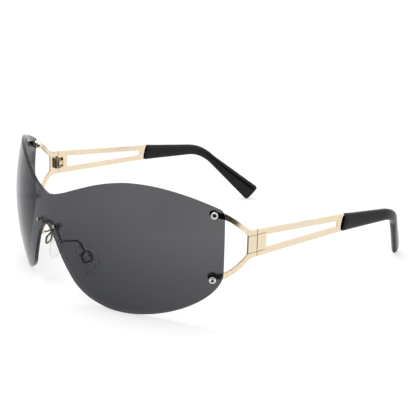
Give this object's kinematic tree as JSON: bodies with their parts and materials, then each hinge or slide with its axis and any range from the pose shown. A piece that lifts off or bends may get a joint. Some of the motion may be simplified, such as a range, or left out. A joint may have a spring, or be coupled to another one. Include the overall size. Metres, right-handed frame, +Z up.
{
  "type": "wrap shield sunglasses",
  "caption": "Rimless wrap-around sunglasses: one curved smoked shield lens, forked metal end pieces, openwork folding temples with black tips, and pads on wire arms.",
  "frame": {"origin": "the middle of the bounding box's bottom, on the table that the open glasses stand on", "axes": "-Y the way the wearer looks, +X to the wearer's left, +Z up"},
  "size_m": [0.15, 0.1686, 0.057],
  "materials": {
    "smoke_lens": "polished",
    "gold": "polished pale gold plating",
    "steel": "polished",
    "tip": "polished",
    "clear_nylon": "clear",
    "silicone": "clear satin"
  },
  "bodies": {
    "front": {"end_piece_left": "gold", "end_piece_right": "gold", "hinge_block_left": "gold", "hinge_block_right": "gold", "hinge_screw_left": "steel", "hinge_screw_right": "steel", "lens_bush_lower_left": "clear_nylon", "lens_bush_lower_right": "clear_nylon", "lens_bush_upper_left": "clear_nylon", "lens_bush_upper_right": "clear_nylon", "lens_nut_lower_left": "steel", "lens_nut_lower_right": "steel", "lens_nut_upper_left": "steel", "lens_nut_upper_right": "steel", "lens_screw_lower_left": "steel", "lens_screw_lower_right": "steel", "lens_screw_upper_left": "steel", "lens_screw_upper_right": "steel", "nose_bridge": "gold", "nose_nut_left": "steel", "nose_nut_right": "steel", "nose_screw_left": "steel", "nose_screw_right": "steel", "pad_arm_left": "gold", "pad_arm_right": "gold", "shield_lens": "smoke_lens"},
    "temple_left": {"temple_hinge_left": "gold", "temple_left": "gold", "temple_tip_left": "tip"},
    "temple_right": {"temple_hinge_right": "gold", "temple_right": "gold", "temple_tip_right": "tip"},
    "pad_left": {"nose_pad_left": "silicone", "pad_boss_left": "clear_nylon"},
    "pad_right": {"nose_pad_right": "silicone", "pad_boss_right": "clear_nylon"}
  },
  "joints": [
    {"name": "temple_left_fold", "type": "hinge", "parent": "front", "child": "temple_left", "pos_m": [0.07283, -0.03055, 0.03327], "axis": [0, 0, 1], "range_deg": [0, 92]},
    {"name": "temple_right_fold", "type": "hinge", "parent": "front", "child": "temple_right", "pos_m": [-0.07283, -0.03055, 0.03327], "axis": [0, 0, -1], "range_deg": [0, 87]},
    {"name": "pad_left_rock", "type": "hinge", "parent": "front", "child": "pad_left", "pos_m": [0.01495, -0.07299, 0.01832], "axis": [-0.2933, -0.9081, -0.2989], "range_deg": [-6, 6]},
    {"name": "pad_right_rock", "type": "hinge", "parent": "front", "child": "pad_right", "pos_m": [-0.01495, -0.07299, 0.01832], "axis": [0.2933, -0.9081, -0.2989], "range_deg": [-6, 6]}
  ]
}
